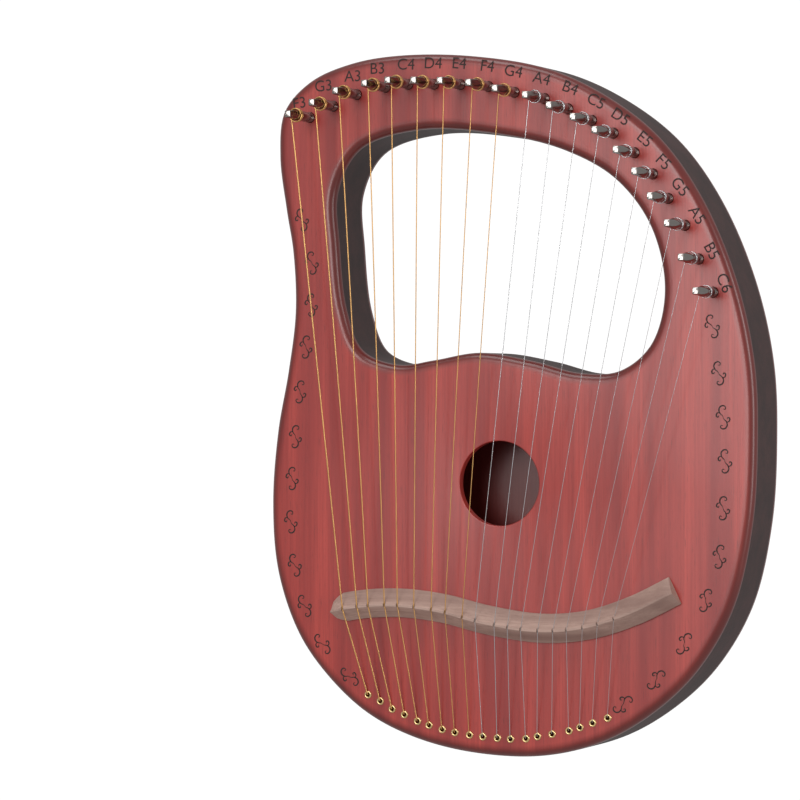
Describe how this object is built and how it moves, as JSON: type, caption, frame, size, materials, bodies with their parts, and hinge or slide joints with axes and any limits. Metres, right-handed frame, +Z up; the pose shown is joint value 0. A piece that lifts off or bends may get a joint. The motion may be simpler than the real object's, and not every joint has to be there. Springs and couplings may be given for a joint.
{
  "type": "lyre harp",
  "caption": "Hollow wooden lyre harp: a flat box body with a hand opening, round sound hole, curved bridge and metal strings that run from the tail to tuning pins.",
  "frame": {"origin": "point on the flat back straight behind the middle of the sound hole", "axes": "+Z up towards the tuning pins, -Y out of the soundboard, +X to the right as seen from the front"},
  "size_m": [0.351, 0.089, 0.4772],
  "materials": {
    "mahogany": "satin deep red lacquer over vertical grain",
    "dark_rim": "dark stained, matte",
    "block_wood": "bare hardwood",
    "brace_wood": "bare softwood",
    "bridge_wood": "bare, fine sanded",
    "tuning_pin": "nickel plated, polished",
    "wound_string": "bronze winding",
    "plain_string": "bright drawn wire"
  },
  "bodies": {
    "lyre_body": {"soundboard": "mahogany", "back_plate": "mahogany", "outer_rim": "dark_rim", "opening_rim": "dark_rim", "pin_block": "block_wood", "tail_block": "block_wood", "upper_brace": "brace_wood", "lower_brace": "brace_wood", "bridge": "bridge_wood", "string_F3": "wound_string", "string_G3": "wound_string", "string_A3": "wound_string", "string_B3": "wound_string", "string_C4": "wound_string", "string_D4": "wound_string", "string_E4": "wound_string", "string_F4": "wound_string", "string_G4": "wound_string", "string_A4": "plain_string", "string_B4": "plain_string", "string_C5": "plain_string", "string_D5": "plain_string", "string_E5": "plain_string", "string_F5": "plain_string", "string_G5": "plain_string", "string_A5": "plain_string", "string_B5": "plain_string", "string_C6": "plain_string"},
    "tuning_pin_F3": {"pin_F3": "tuning_pin"},
    "tuning_pin_G3": {"pin_G3": "tuning_pin"},
    "tuning_pin_A3": {"pin_A3": "tuning_pin"},
    "tuning_pin_B3": {"pin_B3": "tuning_pin"},
    "tuning_pin_C4": {"pin_C4": "tuning_pin"},
    "tuning_pin_D4": {"pin_D4": "tuning_pin"},
    "tuning_pin_E4": {"pin_E4": "tuning_pin"},
    "tuning_pin_F4": {"pin_F4": "tuning_pin"},
    "tuning_pin_G4": {"pin_G4": "tuning_pin"},
    "tuning_pin_A4": {"pin_A4": "tuning_pin"},
    "tuning_pin_B4": {"pin_B4": "tuning_pin"},
    "tuning_pin_C5": {"pin_C5": "tuning_pin"},
    "tuning_pin_D5": {"pin_D5": "tuning_pin"},
    "tuning_pin_E5": {"pin_E5": "tuning_pin"},
    "tuning_pin_F5": {"pin_F5": "tuning_pin"},
    "tuning_pin_G5": {"pin_G5": "tuning_pin"},
    "tuning_pin_A5": {"pin_A5": "tuning_pin"},
    "tuning_pin_B5": {"pin_B5": "tuning_pin"},
    "tuning_pin_C6": {"pin_C6": "tuning_pin"}
  },
  "joints": [
    {"name": "pin_F3_turn", "type": "hinge", "parent": "lyre_body", "child": "tuning_pin_F3", "pos_m": [-0.1405, -0.052, 0.2516], "axis": [0, 1, 0], "range_deg": [-900, 90]},
    {"name": "pin_G3_turn", "type": "hinge", "parent": "lyre_body", "child": "tuning_pin_G3", "pos_m": [-0.1227, -0.052, 0.2589], "axis": [0, 1, 0], "range_deg": [-900, 90]},
    {"name": "pin_A3_turn", "type": "hinge", "parent": "lyre_body", "child": "tuning_pin_A3", "pos_m": [-0.1051, -0.052, 0.2663], "axis": [0, 1, 0], "range_deg": [-900, 90]},
    {"name": "pin_B3_turn", "type": "hinge", "parent": "lyre_body", "child": "tuning_pin_B3", "pos_m": [-0.0837, -0.052, 0.2706], "axis": [0, 1, 0], "range_deg": [-900, 90]},
    {"name": "pin_C4_turn", "type": "hinge", "parent": "lyre_body", "child": "tuning_pin_C4", "pos_m": [-0.0666, -0.052, 0.2721], "axis": [0, 1, 0], "range_deg": [-900, 90]},
    {"name": "pin_D4_turn", "type": "hinge", "parent": "lyre_body", "child": "tuning_pin_D4", "pos_m": [-0.0476, -0.052, 0.2714], "axis": [0, 1, 0], "range_deg": [-900, 90]},
    {"name": "pin_E4_turn", "type": "hinge", "parent": "lyre_body", "child": "tuning_pin_E4", "pos_m": [-0.0284, -0.052, 0.2706], "axis": [0, 1, 0], "range_deg": [-900, 90]},
    {"name": "pin_F4_turn", "type": "hinge", "parent": "lyre_body", "child": "tuning_pin_F4", "pos_m": [-0.0079, -0.052, 0.2686], "axis": [0, 1, 0], "range_deg": [-900, 90]},
    {"name": "pin_G4_turn", "type": "hinge", "parent": "lyre_body", "child": "tuning_pin_G4", "pos_m": [0.0111, -0.052, 0.2641], "axis": [0, 1, 0], "range_deg": [-900, 90]},
    {"name": "pin_A4_turn", "type": "hinge", "parent": "lyre_body", "child": "tuning_pin_A4", "pos_m": [0.0327, -0.052, 0.2591], "axis": [0, 1, 0], "range_deg": [-900, 90]},
    {"name": "pin_B4_turn", "type": "hinge", "parent": "lyre_body", "child": "tuning_pin_B4", "pos_m": [0.0496, -0.052, 0.2517], "axis": [0, 1, 0], "range_deg": [-900, 90]},
    {"name": "pin_C5_turn", "type": "hinge", "parent": "lyre_body", "child": "tuning_pin_C5", "pos_m": [0.0665, -0.052, 0.2435], "axis": [0, 1, 0], "range_deg": [-900, 90]},
    {"name": "pin_D5_turn", "type": "hinge", "parent": "lyre_body", "child": "tuning_pin_D5", "pos_m": [0.0818, -0.052, 0.2345], "axis": [0, 1, 0], "range_deg": [-900, 90]},
    {"name": "pin_E5_turn", "type": "hinge", "parent": "lyre_body", "child": "tuning_pin_E5", "pos_m": [0.0966, -0.052, 0.2211], "axis": [0, 1, 0], "range_deg": [-900, 90]},
    {"name": "pin_F5_turn", "type": "hinge", "parent": "lyre_body", "child": "tuning_pin_F5", "pos_m": [0.1095, -0.052, 0.2066], "axis": [0, 1, 0], "range_deg": [-900, 90]},
    {"name": "pin_G5_turn", "type": "hinge", "parent": "lyre_body", "child": "tuning_pin_G5", "pos_m": [0.1203, -0.052, 0.1901], "axis": [0, 1, 0], "range_deg": [-900, 90]},
    {"name": "pin_A5_turn", "type": "hinge", "parent": "lyre_body", "child": "tuning_pin_A5", "pos_m": [0.132, -0.052, 0.1721], "axis": [0, 1, 0], "range_deg": [-900, 90]},
    {"name": "pin_B5_turn", "type": "hinge", "parent": "lyre_body", "child": "tuning_pin_B5", "pos_m": [0.1416, -0.052, 0.1496], "axis": [0, 1, 0], "range_deg": [-900, 90]},
    {"name": "pin_C6_turn", "type": "hinge", "parent": "lyre_body", "child": "tuning_pin_C6", "pos_m": [0.1516, -0.052, 0.1275], "axis": [0, 1, 0], "range_deg": [-900, 90]}
  ]
}
